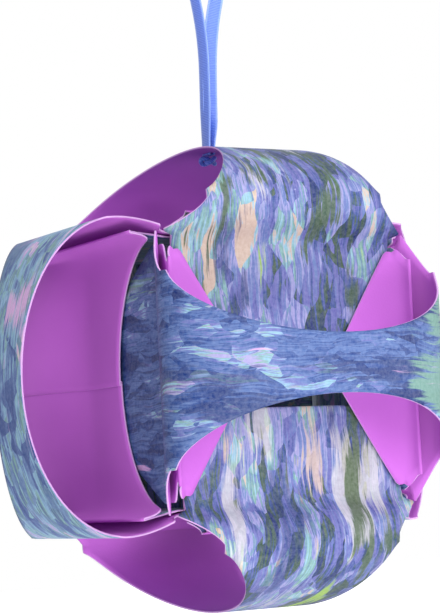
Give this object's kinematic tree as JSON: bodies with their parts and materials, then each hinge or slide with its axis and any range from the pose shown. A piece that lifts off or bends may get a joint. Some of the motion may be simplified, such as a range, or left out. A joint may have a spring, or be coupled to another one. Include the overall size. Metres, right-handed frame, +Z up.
{
  "type": "kusudama paper ball",
  "caption": "Hanging paper ball of interlocked folded sheets with arched bands, slanting flaps and a ribbon loop.",
  "frame": {"origin": "centre of the ball, where the six bands' middle planes meet", "axes": "+Z up towards the ribbon, -Y out through the front band, -X out through the left band"},
  "size_m": [0.0934, 0.0934, 0.1457],
  "materials": {
    "printed_paper": "matte",
    "ribbon_satin": "satin"
  },
  "bodies": {
    "root": {"front_sheet": "printed_paper", "back_sheet": "printed_paper", "left_sheet": "printed_paper", "right_sheet": "printed_paper", "top_sheet": "printed_paper", "bottom_sheet": "printed_paper", "hanging_ribbon": "ribbon_satin", "ribbon_knot": "ribbon_satin"}
  },
  "joints": []
}
